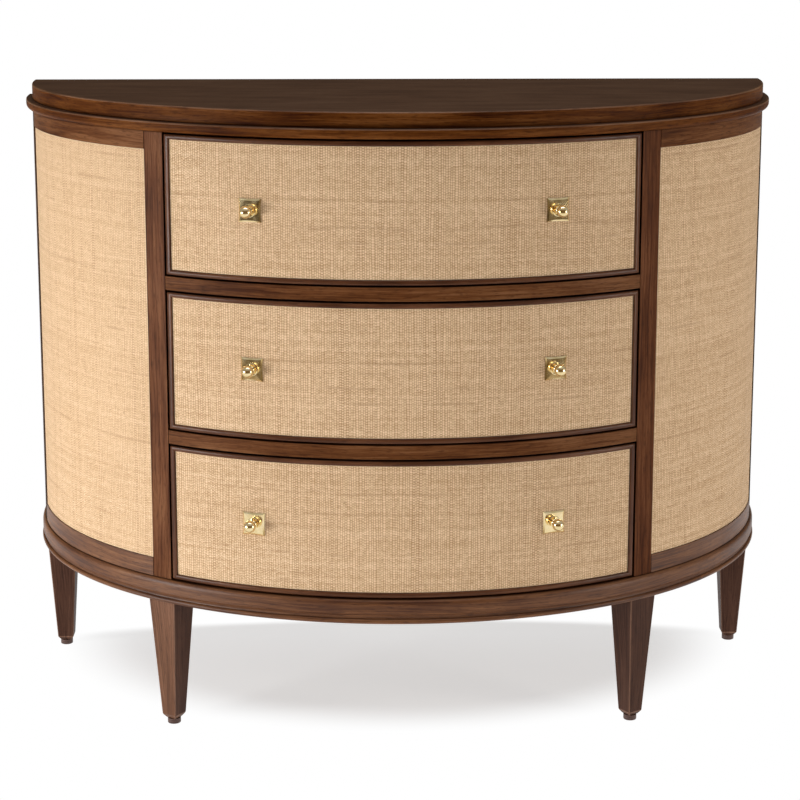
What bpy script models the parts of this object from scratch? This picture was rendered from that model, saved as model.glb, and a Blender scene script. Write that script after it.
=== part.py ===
"""Demilune chest with three drawers, raffia panels and brass knobs.

Metres, +Z up. The floor is at zero height, the flat back faces +Y and the curved front faces -Y.
Every curved piece follows one plan curve, a half ellipse, at its own distance from the case face.
"""

import math

import bmesh
import bpy

# Whole chest
HALF_WIDTH = 0.584
DEPTH = 0.508
JOINT_GAP = 0.0003

# Heights of the case, from the floor up
BASE_UNDERSIDE_HEIGHT = 0.198
BASE_HEIGHT = 0.035
FRONT_HEIGHT = 0.2005
GAP_BELOW_FRONT = 0.0025
GAP_ABOVE_FRONT = 0.0030
DIVIDER_HEIGHT = 0.020
MOULDING_HEIGHT = 0.0145
TOP_BOARD_HEIGHT = 0.0225

# Top board and the moulded board under it
MOULDING_OVERHANG = 0.0097
MOULDING_LOWER_ROUND = 0.0070
MOULDING_UPPER_ROUND = 0.0020
TOP_BOARD_ROUND = 0.0025

# Moulded base frame
BASE_FACE_OVERHANG = 0.0049
BASE_TOP_ROUND_HEIGHT = 0.0080
BASE_COVE_DEPTH = 0.0030
BASE_COVE_HEIGHT = 0.0060
BASE_NECK_HEIGHT = 0.0010
BASE_BEAD_OVERHANG = 0.0061
BASE_BEAD_HEIGHT = 0.0075
BASE_FRAME_WIDTH = 0.044
BASE_LIP_WIDTH = 0.014
CASE_BOTTOM_THICKNESS = 0.018

# Case frame
OPENING_HALF_WIDTH = 0.3389
FRONT_STILE_WIDTH = 0.0275
FRONT_STILE_THICKNESS = 0.028
REAR_STILE_WIDTH = 0.100
REAR_STILE_THICKNESS = 0.022
SIDE_TOP_RAIL_HEIGHT = 0.0265
SIDE_BOTTOM_RAIL_HEIGHT = 0.0285
SIDE_RAIL_THICKNESS = 0.022
SIDE_PANEL_RECESS = 0.0015
SIDE_PANEL_THICKNESS = 0.009
DIVIDER_DEPTH = 0.045
BACK_PANEL_THICKNESS = 0.008
BACK_PANEL_INSET = 0.002
PARTITION_SETBACK = 0.0061
PARTITION_THICKNESS = 0.012

# Drawer fronts
FRONT_SIDE_GAP = 0.0024
CORE_RECESS = 0.0040
CORE_THICKNESS = 0.020
RAFFIA_THICKNESS = 0.0010
BEAD_WIDTH = 0.0072
BEAD_SHOULDER_HEIGHT = 0.0018

# Drawer boxes
DRAWER_SIDE_CLEARANCE = 0.0064
DRAWER_SIDE_THICKNESS = 0.014
DRAWER_SIDE_HEIGHT = 0.158
DRAWER_SIDE_LIFT = 0.012
DRAWER_BACK_CLEARANCE = 0.024
DRAWER_BACK_THICKNESS = 0.012
DRAWER_BACK_DROP = 0.006
DRAWER_BOTTOM_THICKNESS = 0.006
DRAWER_BOTTOM_LIFT = 0.009
BOTTOM_GROOVE_DEPTH = 0.005
RUNNER_HEIGHT = 0.016
RUNNER_PLAY = 0.0006
RUNNER_GROOVE_DEPTH = 0.0065
RUNNER_GROOVE_LIFT = 0.080
RUNNER_FRONT_SETBACK = 0.004

# Knobs
KNOB_END_DISTANCE = 0.1225
PLATE_HALF_SIDE = 0.017
PLATE_THICKNESS = 0.0026
PLATE_EDGE = 0.0007
STUD_RADIUS = 0.0026
STUD_LENGTH = 0.013
KNOB_FOOT_RADIUS = 0.0094
KNOB_FOOT_HEIGHT = 0.0013
KNOB_STEP_RADIUS = 0.0078
KNOB_STEP_HEIGHT = 0.0010
KNOB_CONE_RADIUS = 0.0058
KNOB_CONE_HEIGHT = 0.0036
KNOB_NECK_RADIUS = 0.0034
KNOB_RING_RADIUS = 0.0047
KNOB_RING_HEIGHT = 0.0014
KNOB_BALL_RADIUS = 0.0080

# Legs and glides
LEG_TOP_WIDTH = 0.0475
LEG_FOOT_WIDTH = 0.0252
LEG_FOOT_CHAMFER = 0.0045
LEG_FOOT_CHAMFER_HEIGHT = 0.006
FRONT_LEG_OUTWARD = 0.0030
FRONT_LEG_INSET = 0.0258
REAR_LEG_INSET = 0.0263
REAR_LEG_BACK_GAP = 0.001
GLIDE_RADIUS = 0.0098
GLIDE_HEIGHT = 0.008
GLIDE_ROUND = 0.0012

# Fineness of the curves
CURVE_SEGMENTS = 64
ARC_SEGMENTS = 4
ROUND_SEGMENTS = 16
BALL_SEGMENTS = 8
SMOOTH_ANGLE = math.radians(32)

# Plan of the case face
BODY_HALF_WIDTH = HALF_WIDTH - MOULDING_OVERHANG
BODY_DEPTH = DEPTH - MOULDING_OVERHANG
BACK_Y = DEPTH / 2
STILE_OUTER_X = OPENING_HALF_WIDTH + FRONT_STILE_WIDTH
PARTITION_X = OPENING_HALF_WIDTH + PARTITION_SETBACK

# Heights that follow
BASE_TOP = BASE_UNDERSIDE_HEIGHT + BASE_HEIGHT
BAY_HEIGHT = GAP_BELOW_FRONT + FRONT_HEIGHT + GAP_ABOVE_FRONT
BAY_PITCH = BAY_HEIGHT + DIVIDER_HEIGHT
DRAWER_NAMES = ("lower", "middle", "upper")
BODY_TOP = BASE_TOP + len(DRAWER_NAMES) * BAY_PITCH - DIVIDER_HEIGHT
BODY_LOW = BASE_TOP + JOINT_GAP
BODY_HIGH = BODY_TOP - JOINT_GAP
TOP_BOARD_LOW = BODY_TOP + MOULDING_HEIGHT + JOINT_GAP

# Drawer sizes that follow
FRONT_HALF_WIDTH = OPENING_HALF_WIDTH - FRONT_SIDE_GAP
CORE_OUTER = -CORE_RECESS
CORE_INNER = CORE_OUTER - CORE_THICKNESS
FACE_SEAT = CORE_OUTER + JOINT_GAP
RAFFIA_FACE = FACE_SEAT + RAFFIA_THICKNESS
SIDE_OUTER_X = OPENING_HALF_WIDTH - DRAWER_SIDE_CLEARANCE
SIDE_INNER_X = SIDE_OUTER_X - DRAWER_SIDE_THICKNESS
SIDE_LOW = DRAWER_SIDE_LIFT
SIDE_HIGH = DRAWER_SIDE_LIFT + DRAWER_SIDE_HEIGHT
BOTTOM_LOW = SIDE_LOW + DRAWER_BOTTOM_LIFT
BOTTOM_HIGH = BOTTOM_LOW + DRAWER_BOTTOM_THICKNESS
BACK_PANEL_FACE = BACK_PANEL_INSET + BACK_PANEL_THICKNESS
DRAWER_REAR = BACK_PANEL_FACE + DRAWER_BACK_CLEARANCE
RUNNER_LOW = SIDE_LOW + RUNNER_GROOVE_LIFT
RUNNER_HIGH = RUNNER_LOW + RUNNER_HEIGHT

for old in list(bpy.data.objects):
    bpy.data.objects.remove(old, do_unlink=True)


def make_material(name, color, roughness, metallic):
    material = bpy.data.materials.new(name)
    material.use_nodes = True
    shader = material.node_tree.nodes["Principled BSDF"]
    shader.inputs["Base Color"].default_value = (*color, 1)
    shader.inputs["Roughness"].default_value = roughness
    shader.inputs["Metallic"].default_value = metallic
    return material


WALNUT = make_material("walnut", (0.115, 0.052, 0.024), 0.42, 0)
RAFFIA = make_material("raffia", (0.66, 0.47, 0.28), 0.75, 0)
BRASS = make_material("brass", (0.78, 0.58, 0.27), 0.18, 1)
DRAWER_WOOD = make_material("drawer_wood", (0.52, 0.37, 0.22), 0.55, 0)
GLIDE_PLASTIC = make_material("glide_plastic", (0.045, 0.022, 0.014), 0.5, 0)


def plan_point(offset, angle):
    """Point of the plan curve at a distance outside the case face; the angle starts at the right back."""
    x = (BODY_HALF_WIDTH + offset) * math.cos(angle)
    depth = (BODY_DEPTH + offset) * math.sin(angle)
    return x, BACK_Y - depth


def angle_at_x(offset, x):
    return math.acos(x / (BODY_HALF_WIDTH + offset))


def angle_at_depth(offset, depth):
    return math.asin(depth / (BODY_DEPTH + offset))


def depth_at_x(offset, x):
    return (BODY_DEPTH + offset) * math.sin(angle_at_x(offset, x))


def x_at_depth(offset, depth):
    return (BODY_HALF_WIDTH + offset) * math.cos(angle_at_depth(offset, depth))


def facing_turn(offset, angle):
    """Turn about the upright axis that makes a piece face straight out from the plan curve."""
    return math.atan2(math.cos(angle) / (BODY_HALF_WIDTH + offset), math.sin(angle) / (BODY_DEPTH + offset))


def steps_between(first, last):
    return max(2, math.ceil(abs(last - first) / math.pi * CURVE_SEGMENTS))


def new_object(name, mesh, material, parent=None):
    thing = bpy.data.objects.new(name, mesh)
    bpy.context.scene.collection.objects.link(thing)
    thing.parent = parent
    if material is not None and not mesh.materials:
        mesh.materials.append(material)
    return thing


def loft_mesh(name, loops, ring=False):
    """Skin loops of equal length into one closed body; a ring joins the last loop to the first."""
    shape = bmesh.new()
    rows = [[shape.verts.new(point) for point in loop] for loop in loops]
    count = len(rows[0])
    pairs = list(zip(rows, rows[1:]))
    if ring:
        pairs.append((rows[-1], rows[0]))
    else:
        shape.faces.new(rows[0])
        shape.faces.new(rows[-1])
    for row, following in pairs:
        for index in range(count):
            after = (index + 1) % count
            shape.faces.new((row[index], row[after], following[after], following[index]))
    bmesh.ops.recalc_face_normals(shape, faces=shape.faces)
    mesh = bpy.data.meshes.new(name)
    shape.to_mesh(mesh)
    shape.free()
    mesh.shade_smooth()
    mesh.set_sharp_from_angle(angle=SMOOTH_ANGLE)
    return mesh


def arc(center_out, center_up, out, up, first, last, count=ARC_SEGMENTS):
    """Points of an elliptic arc in a profile, angles in degrees from the outward direction."""
    points = []
    for index in range(count + 1):
        turn = math.radians(first + (last - first) * index / count)
        points.append((center_out + out * math.cos(turn), center_up + up * math.sin(turn)))
    return points


def rectangle(outer, inner, low, high):
    return [(outer, low), (outer, high), (inner, high), (inner, low)]


def sweep_mesh(name, profile, start, end, side=1):
    """Carry a profile of (offset, height) points along the plan between two upright planes."""
    middle = sum(offset for offset, height in profile) / len(profile)
    steps = steps_between(start(middle), end(middle))
    loops = []
    for index in range(steps + 1):
        share = index / steps
        loop = []
        for offset, height in profile:
            angle = start(offset) + (end(offset) - start(offset)) * share
            x, y = plan_point(offset, angle)
            loop.append((side * x, y, height))
        loops.append(loop)
    return loft_mesh(name, loops)


def across(x):
    """Start and end of a sweep that runs from one side of the front to the other."""
    return (lambda offset: angle_at_x(offset, x)), (lambda offset: math.pi - angle_at_x(offset, x))


def demilune_loop(offset, height):
    """Closed outline of the plan; inside the case face its back edge moves forward as well."""
    start = angle_at_depth(offset, max(-offset, 0))
    loop = []
    for index in range(CURVE_SEGMENTS + 1):
        x, y = plan_point(offset, start + (math.pi - 2 * start) * index / CURVE_SEGMENTS)
        loop.append((x, y, height))
    return loop


def demilune_mesh(name, profile, ring=False):
    return loft_mesh(name, [demilune_loop(offset, height) for offset, height in profile], ring)


def block_mesh(name, left, right, back_depth, front_depth, low, high):
    """Box between two upright planes; depths are counted from the back of the case."""
    loops = []
    for height in (low, high):
        loops.append([(left, BACK_Y - back_depth, height), (right, BACK_Y - back_depth, height),
                      (right, BACK_Y - front_depth, height), (left, BACK_Y - front_depth, height)])
    return loft_mesh(name, loops)


def turned_loop(radius, reach, count=ROUND_SEGMENTS):
    """Circle around the -Y axis, at a reach along it."""
    loop = []
    for index in range(count):
        turn = 2 * math.pi * (index + 0.5) / count
        loop.append((radius * math.cos(turn), -reach, radius * math.sin(turn)))
    return loop


def square_loop(half_side, reach, count=ROUND_SEGMENTS):
    """Square around the -Y axis with as many points as a turned loop, corners included."""
    quarter = count // 4
    loop = []
    for side in range(4):
        turn = math.pi / 4 + side * math.pi / 2
        following = turn + math.pi / 2
        corner = half_side * math.sqrt(2)
        for index in range(quarter):
            share = index / quarter
            across_x = corner * (math.cos(turn) * (1 - share) + math.cos(following) * share)
            across_z = corner * (math.sin(turn) * (1 - share) + math.sin(following) * share)
            loop.append((across_x, -reach, across_z))
    return loop


# Top board, moulded board and base frame
top_low = TOP_BOARD_LOW
top_high = top_low + TOP_BOARD_HEIGHT
top_profile = [(0, top_low), (0, top_high - TOP_BOARD_ROUND)]
top_profile += arc(-TOP_BOARD_ROUND, top_high - TOP_BOARD_ROUND, TOP_BOARD_ROUND, TOP_BOARD_ROUND, 0, 90)[1:]
new_object("top_board", demilune_mesh("top_board", top_profile), WALNUT)

moulding_high = BODY_TOP + MOULDING_HEIGHT
moulding_profile = arc(MOULDING_OVERHANG - MOULDING_LOWER_ROUND, BODY_TOP + MOULDING_LOWER_ROUND,
                       MOULDING_LOWER_ROUND, MOULDING_LOWER_ROUND, -90, 0)
moulding_profile += arc(MOULDING_OVERHANG - MOULDING_UPPER_ROUND, moulding_high - MOULDING_UPPER_ROUND,
                        MOULDING_UPPER_ROUND, MOULDING_UPPER_ROUND, 0, 90, 2)
new_object("top_moulding", demilune_mesh("top_moulding", moulding_profile), WALNUT)

bead_radius = BASE_BEAD_HEIGHT / 2
cove_low = BASE_UNDERSIDE_HEIGHT + BASE_BEAD_HEIGHT + BASE_NECK_HEIGHT
ledge_height = BASE_TOP - CASE_BOTTOM_THICKNESS - JOINT_GAP
base_profile = arc(BASE_BEAD_OVERHANG - bead_radius, BASE_UNDERSIDE_HEIGHT + bead_radius,
                   bead_radius, bead_radius, -90, 90, 6)
base_profile += arc(BASE_FACE_OVERHANG, cove_low, BASE_COVE_DEPTH, BASE_COVE_HEIGHT, 180, 90)
base_profile += arc(0, BASE_TOP - BASE_TOP_ROUND_HEIGHT, BASE_FACE_OVERHANG, BASE_TOP_ROUND_HEIGHT, 0, 90)
base_profile += [(-BASE_LIP_WIDTH, BASE_TOP), (-BASE_LIP_WIDTH, ledge_height)]
base_profile += [(-BASE_FRAME_WIDTH, ledge_height), (-BASE_FRAME_WIDTH, BASE_UNDERSIDE_HEIGHT)]
new_object("base_moulding", demilune_mesh("base_moulding", base_profile, ring=True), WALNUT)

bottom_edge = -BASE_LIP_WIDTH - JOINT_GAP
bottom_profile = [(bottom_edge, BASE_TOP - CASE_BOTTOM_THICKNESS), (bottom_edge, BASE_TOP)]
new_object("case_bottom", demilune_mesh("case_bottom", bottom_profile), WALNUT)

# Frames and panels at the two sides of the drawers
panel_low = BASE_TOP + SIDE_BOTTOM_RAIL_HEIGHT
panel_high = BODY_TOP - SIDE_TOP_RAIL_HEIGHT
panel_face = -SIDE_PANEL_RECESS


def stile_front(offset):
    return angle_at_x(offset, OPENING_HALF_WIDTH)


def stile_back(offset):
    return angle_at_x(offset, STILE_OUTER_X)


def panel_front(offset):
    return angle_at_x(offset, STILE_OUTER_X + JOINT_GAP)


def panel_rear(offset):
    return angle_at_depth(offset, REAR_STILE_WIDTH + JOINT_GAP)


def rear_stile_front(offset):
    return angle_at_depth(offset, REAR_STILE_WIDTH)


def rear_stile_back(offset):
    return 0


side_pieces = (
    ("front_stile", rectangle(0, -FRONT_STILE_THICKNESS, BODY_LOW, BODY_HIGH),
     stile_back, stile_front, WALNUT),
    ("rear_stile", rectangle(0, -REAR_STILE_THICKNESS, BODY_LOW, BODY_HIGH),
     rear_stile_back, rear_stile_front, WALNUT),
    ("side_top_rail", rectangle(0, -SIDE_RAIL_THICKNESS, panel_high, BODY_HIGH),
     panel_rear, panel_front, WALNUT),
    ("side_bottom_rail", rectangle(0, -SIDE_RAIL_THICKNESS, BODY_LOW, panel_low),
     panel_rear, panel_front, WALNUT),
    ("side_panel", rectangle(panel_face, panel_face - SIDE_PANEL_THICKNESS,
                             panel_low + JOINT_GAP, panel_high - JOINT_GAP),
     panel_rear, panel_front, RAFFIA),
)

partition_front = depth_at_x(-FRONT_STILE_THICKNESS, PARTITION_X + PARTITION_THICKNESS) - JOINT_GAP
runner_front = partition_front - RUNNER_FRONT_SETBACK
runner_rear = BACK_PANEL_FACE + JOINT_GAP
runner_inner_x = SIDE_OUTER_X - RUNNER_GROOVE_DEPTH + JOINT_GAP
runner_outer_x = PARTITION_X - JOINT_GAP

for side, label in ((-1, "left"), (1, "right")):
    for name, profile, start, end, material in side_pieces:
        new_object(f"{name}_{label}", sweep_mesh(name, profile, start, end, side), material)
    board = block_mesh("inner_partition", side * PARTITION_X, side * (PARTITION_X + PARTITION_THICKNESS),
                       BACK_PANEL_FACE + JOINT_GAP, partition_front, BODY_LOW, BODY_HIGH)
    new_object(f"inner_partition_{label}", board, DRAWER_WOOD)
    strip = block_mesh("drawer_runner", side * runner_inner_x, side * runner_outer_x,
                       runner_rear, runner_front, RUNNER_LOW, RUNNER_HIGH)
    for index, drawer_name in enumerate(DRAWER_NAMES):
        runner = new_object(f"drawer_runner_{drawer_name}_{label}", strip, DRAWER_WOOD)
        runner.location.z = BASE_TOP + GAP_BELOW_FRONT + index * BAY_PITCH

back_half_width = x_at_depth(-REAR_STILE_THICKNESS, BACK_PANEL_FACE) - JOINT_GAP
new_object("back_panel", block_mesh("back_panel", -back_half_width, back_half_width, BACK_PANEL_INSET,
                                    BACK_PANEL_FACE, BODY_LOW, BODY_HIGH), DRAWER_WOOD)

# Curved rails between the drawers, seated against the stiles
divider_start, divider_end = across(OPENING_HALF_WIDTH - JOINT_GAP)
divider_mesh = sweep_mesh("drawer_divider", rectangle(0, -DIVIDER_DEPTH, 0, DIVIDER_HEIGHT),
                          divider_start, divider_end)
for index, label in ((1, "lower"), (2, "upper")):
    divider = new_object(f"drawer_divider_{label}", divider_mesh, WALNUT)
    divider.location.z = BASE_TOP + index * BAY_PITCH - DIVIDER_HEIGHT

# Legs, turned at the front to face along the curve, with a round glide under each
leg_length = BASE_UNDERSIDE_HEIGHT - GLIDE_HEIGHT - 2 * JOINT_GAP


def leg_loop(width, height):
    half = width / 2
    return [(-half, -half, height), (half, -half, height), (half, half, height), (-half, half, height)]


leg_mesh = loft_mesh("leg", [leg_loop(LEG_FOOT_WIDTH - 2 * LEG_FOOT_CHAMFER, 0),
                             leg_loop(LEG_FOOT_WIDTH, LEG_FOOT_CHAMFER_HEIGHT),
                             leg_loop(LEG_TOP_WIDTH, leg_length)])
glide_profile = [(GLIDE_RADIUS - GLIDE_ROUND, 0), (GLIDE_RADIUS, GLIDE_ROUND), (GLIDE_RADIUS, GLIDE_HEIGHT)]
glide_mesh = loft_mesh("glide", [[(x, z, height) for x, y, z in turned_loop(radius, 0)]
                                 for radius, height in glide_profile])
front_leg_angle = angle_at_x(-FRONT_LEG_INSET, OPENING_HALF_WIDTH + FRONT_LEG_OUTWARD)
front_leg_x, front_leg_y = plan_point(-FRONT_LEG_INSET, front_leg_angle)
front_leg_turn = facing_turn(-FRONT_LEG_INSET, front_leg_angle)
rear_leg_x = BODY_HALF_WIDTH - REAR_LEG_INSET
rear_leg_y = BACK_Y - REAR_LEG_BACK_GAP - LEG_TOP_WIDTH / 2
for side, label in ((-1, "left"), (1, "right")):
    for row, leg_x, leg_y, turn in (("front", front_leg_x, front_leg_y, front_leg_turn),
                                    ("rear", rear_leg_x, rear_leg_y, 0)):
        leg = new_object(f"leg_{row}_{label}", leg_mesh, WALNUT)
        leg.location = (side * leg_x, leg_y, GLIDE_HEIGHT + JOINT_GAP)
        leg.rotation_euler.z = side * turn
        glide = new_object(f"glide_{row}_{label}", glide_mesh, GLIDE_PLASTIC)
        glide.location = (side * leg_x, leg_y, 0)

# Drawer front: curved core with a groove for the bottom, raffia skin and bead frame
groove_low = BOTTOM_LOW - JOINT_GAP
groove_high = BOTTOM_HIGH + JOINT_GAP
groove_end = CORE_INNER + BOTTOM_GROOVE_DEPTH
core_profile = [(CORE_OUTER, 0), (CORE_OUTER, FRONT_HEIGHT), (CORE_INNER, FRONT_HEIGHT),
                (CORE_INNER, groove_high), (groove_end, groove_high), (groove_end, groove_low),
                (CORE_INNER, groove_low), (CORE_INNER, 0)]
core_start, core_end = across(FRONT_HALF_WIDTH)
core_mesh = sweep_mesh("drawer_front_core", core_profile, core_start, core_end)

skin_margin = BEAD_WIDTH + JOINT_GAP
skin_start, skin_end = across(FRONT_HALF_WIDTH - skin_margin)
skin_mesh = sweep_mesh("drawer_raffia", rectangle(RAFFIA_FACE, FACE_SEAT, skin_margin,
                                                  FRONT_HEIGHT - skin_margin), skin_start, skin_end)
bead_steps = steps_between(core_start(0), core_end(0))


def bead_loop(inset, offset):
    """Outline of the drawer front, moved in from its edge; the front follows the plan curve."""
    start = angle_at_x(offset, FRONT_HALF_WIDTH - inset)
    angles = [start + (math.pi - 2 * start) * index / bead_steps for index in range(bead_steps + 1)]
    low = [(*plan_point(offset, angle), inset) for angle in angles]
    high = [(*plan_point(offset, angle), FRONT_HEIGHT - inset) for angle in reversed(angles)]
    return low + high


shoulder = FACE_SEAT + BEAD_SHOULDER_HEIGHT
crown = [(BEAD_WIDTH / 2 - out, up) for out, up in arc(0, shoulder, BEAD_WIDTH / 2, -shoulder, 0, 180, 6)]
bead_profile = [(0, FACE_SEAT)] + crown + [(BEAD_WIDTH, FACE_SEAT)]
bead_mesh = loft_mesh("drawer_bead", [bead_loop(inset, offset) for inset, offset in bead_profile], ring=True)

# Drawer box
side_front_inner = depth_at_x(CORE_INNER, SIDE_INNER_X) - 2 * JOINT_GAP
side_front_outer = depth_at_x(CORE_INNER, SIDE_OUTER_X) - 2 * JOINT_GAP
runner_groove_x = SIDE_OUTER_X - RUNNER_GROOVE_DEPTH
runner_groove_low = RUNNER_LOW - RUNNER_PLAY
runner_groove_high = RUNNER_HIGH + JOINT_GAP
bottom_groove_x = SIDE_INNER_X + BOTTOM_GROOVE_DEPTH
side_profile = [(SIDE_OUTER_X, SIDE_LOW), (SIDE_OUTER_X, runner_groove_low), (runner_groove_x, runner_groove_low),
                (runner_groove_x, runner_groove_high), (SIDE_OUTER_X, runner_groove_high),
                (SIDE_OUTER_X, SIDE_HIGH), (SIDE_INNER_X, SIDE_HIGH), (SIDE_INNER_X, groove_high),
                (bottom_groove_x, groove_high), (bottom_groove_x, groove_low),
                (SIDE_INNER_X, groove_low), (SIDE_INNER_X, SIDE_LOW)]


def drawer_side_mesh(side):
    """Side board, mitred at the front to lie along the curved core."""
    slope = (side_front_outer - side_front_inner) / (SIDE_OUTER_X - SIDE_INNER_X)
    rear = [(side * x, BACK_Y - DRAWER_REAR, height) for x, height in side_profile]
    front = [(side * x, BACK_Y - side_front_inner - slope * (x - SIDE_INNER_X), height)
             for x, height in side_profile]
    return loft_mesh("drawer_side", [rear, front])


back_board_x = SIDE_INNER_X - JOINT_GAP
back_board_mesh = block_mesh("drawer_back", -back_board_x, back_board_x, DRAWER_REAR,
                             DRAWER_REAR + DRAWER_BACK_THICKNESS, BOTTOM_HIGH + JOINT_GAP,
                             SIDE_HIGH - DRAWER_BACK_DROP)

bottom_x = bottom_groove_x - JOINT_GAP
bottom_offset = groove_end - JOINT_GAP
bottom_start = angle_at_x(bottom_offset, bottom_x)
bottom_steps = steps_between(bottom_start, math.pi - bottom_start)
bottom_plan = [plan_point(bottom_offset, bottom_start + (math.pi - 2 * bottom_start) * index / bottom_steps)
               for index in range(bottom_steps + 1)]
bottom_plan += [(-bottom_x, BACK_Y - DRAWER_REAR), (bottom_x, BACK_Y - DRAWER_REAR)]
bottom_mesh = loft_mesh("drawer_bottom", [[(x, y, height) for x, y in bottom_plan]
                                          for height in (BOTTOM_LOW, BOTTOM_HIGH)])

# Knob: stud, square plate, stepped foot, cone, ring and ball, turned around the -Y axis
plate_face = JOINT_GAP + PLATE_THICKNESS
foot_top = plate_face + KNOB_FOOT_HEIGHT
step_top = foot_top + KNOB_STEP_HEIGHT
cone_top = step_top + KNOB_CONE_HEIGHT
ring_top = cone_top + KNOB_RING_HEIGHT
ball_sink = math.sqrt(KNOB_BALL_RADIUS ** 2 - KNOB_NECK_RADIUS ** 2)
ball_center = ring_top + ball_sink
knob_loops = [turned_loop(STUD_RADIUS, -STUD_LENGTH), turned_loop(STUD_RADIUS, JOINT_GAP),
              square_loop(PLATE_HALF_SIDE, JOINT_GAP), square_loop(PLATE_HALF_SIDE, plate_face - PLATE_EDGE),
              square_loop(PLATE_HALF_SIDE - PLATE_EDGE, plate_face),
              turned_loop(KNOB_FOOT_RADIUS, plate_face), turned_loop(KNOB_FOOT_RADIUS, foot_top),
              turned_loop(KNOB_STEP_RADIUS, foot_top), turned_loop(KNOB_STEP_RADIUS, step_top),
              turned_loop(KNOB_CONE_RADIUS, step_top), turned_loop(KNOB_NECK_RADIUS, cone_top),
              turned_loop(KNOB_RING_RADIUS, cone_top + KNOB_RING_HEIGHT / 4),
              turned_loop(KNOB_RING_RADIUS, ring_top - KNOB_RING_HEIGHT / 4)]
neck_turn = math.degrees(math.asin(KNOB_NECK_RADIUS / KNOB_BALL_RADIUS))
for radius, reach in [(up, out) for out, up in arc(ball_center, 0, -KNOB_BALL_RADIUS, KNOB_BALL_RADIUS,
                                                   neck_turn, 180, BALL_SEGMENTS)][:-1]:
    knob_loops.append(turned_loop(radius, reach))
knob_mesh = loft_mesh("knob", knob_loops)

hole_radius = STUD_RADIUS + JOINT_GAP
hole_mesh = loft_mesh("knob_hole", [turned_loop(hole_radius, -STUD_LENGTH - JOINT_GAP),
                                    turned_loop(hole_radius, CORE_RECESS)])

knob_angle = angle_at_x(RAFFIA_FACE, FRONT_HALF_WIDTH - KNOB_END_DISTANCE)
knob_x, knob_y = plan_point(RAFFIA_FACE, knob_angle)
knob_turn = facing_turn(RAFFIA_FACE, knob_angle)


def place_on_front(thing, side):
    thing.location = (side * knob_x, knob_y, FRONT_HEIGHT / 2)
    thing.rotation_euler.z = side * knob_turn


side_meshes = {-1: drawer_side_mesh(-1), 1: drawer_side_mesh(1)}
for index, drawer_name in enumerate(DRAWER_NAMES):
    slide = bpy.data.objects.new(f"drawer_{drawer_name}_slide", None)
    bpy.context.scene.collection.objects.link(slide)
    slide.location.z = BASE_TOP + GAP_BELOW_FRONT + index * BAY_PITCH
    core = new_object(f"drawer_{drawer_name}_front", core_mesh, WALNUT, slide)
    skin = new_object(f"drawer_{drawer_name}_raffia", skin_mesh, RAFFIA, slide)
    new_object(f"drawer_{drawer_name}_bead", bead_mesh, WALNUT, slide)
    new_object(f"drawer_{drawer_name}_back", back_board_mesh, DRAWER_WOOD, slide)
    new_object(f"drawer_{drawer_name}_bottom", bottom_mesh, DRAWER_WOOD, slide)
    for side, label in ((-1, "left"), (1, "right")):
        new_object(f"drawer_{drawer_name}_side_{label}", side_meshes[side], DRAWER_WOOD, slide)
        knob = new_object(f"drawer_{drawer_name}_knob_{label}", knob_mesh, BRASS, slide)
        place_on_front(knob, side)
        hole = new_object(f"hole_{drawer_name}_{label}", hole_mesh, None, slide)
        place_on_front(hole, side)
        hole.hide_render = True
        hole.display_type = "WIRE"
        for carrier in (core, skin):
            cut = carrier.modifiers.new(f"knob_hole_{label}", "BOOLEAN")
            cut.operation = "DIFFERENCE"
            cut.solver = "EXACT"
            cut.object = hole
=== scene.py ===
from math import acos, asin, atan2, ceil, cos, degrees, dist, pi, radians, sin, sqrt

import bmesh
import bpy
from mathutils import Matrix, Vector


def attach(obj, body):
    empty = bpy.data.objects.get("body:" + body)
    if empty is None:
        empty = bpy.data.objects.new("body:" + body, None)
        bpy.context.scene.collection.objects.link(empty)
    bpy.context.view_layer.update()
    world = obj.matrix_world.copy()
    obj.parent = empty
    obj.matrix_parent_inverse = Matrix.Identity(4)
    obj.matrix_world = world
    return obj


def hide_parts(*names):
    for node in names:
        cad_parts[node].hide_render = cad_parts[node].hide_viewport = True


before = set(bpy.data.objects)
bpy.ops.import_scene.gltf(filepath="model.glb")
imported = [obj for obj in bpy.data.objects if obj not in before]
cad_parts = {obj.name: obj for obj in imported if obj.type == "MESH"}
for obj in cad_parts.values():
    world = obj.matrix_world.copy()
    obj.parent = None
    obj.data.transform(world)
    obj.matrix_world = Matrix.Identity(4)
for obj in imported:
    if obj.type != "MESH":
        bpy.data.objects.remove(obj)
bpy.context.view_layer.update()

# Sizes of the chest, in metres, as in the solids
HALF_WIDTH = 0.584
DEPTH = 0.508
JOINT_GAP = 0.0003
BASE_UNDERSIDE_HEIGHT = 0.198
BASE_HEIGHT = 0.035
FRONT_HEIGHT = 0.2005
GAP_BELOW_FRONT = 0.0025
GAP_ABOVE_FRONT = 0.0030
DIVIDER_HEIGHT = 0.020
MOULDING_HEIGHT = 0.0145
TOP_BOARD_HEIGHT = 0.0225
MOULDING_OVERHANG = 0.0097
MOULDING_LOWER_ROUND = 0.0070
MOULDING_UPPER_ROUND = 0.0020
TOP_BOARD_ROUND = 0.0025
BASE_FACE_OVERHANG = 0.0049
BASE_TOP_ROUND_HEIGHT = 0.0080
BASE_COVE_DEPTH = 0.0030
BASE_COVE_HEIGHT = 0.0060
BASE_NECK_HEIGHT = 0.0010
BASE_BEAD_OVERHANG = 0.0061
BASE_BEAD_HEIGHT = 0.0075
BASE_FRAME_WIDTH = 0.044
BASE_LIP_WIDTH = 0.014
CASE_BOTTOM_THICKNESS = 0.018
OPENING_HALF_WIDTH = 0.3389
FRONT_STILE_WIDTH = 0.0275
FRONT_STILE_THICKNESS = 0.028
REAR_STILE_WIDTH = 0.100
REAR_STILE_THICKNESS = 0.022
SIDE_TOP_RAIL_HEIGHT = 0.0265
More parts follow.
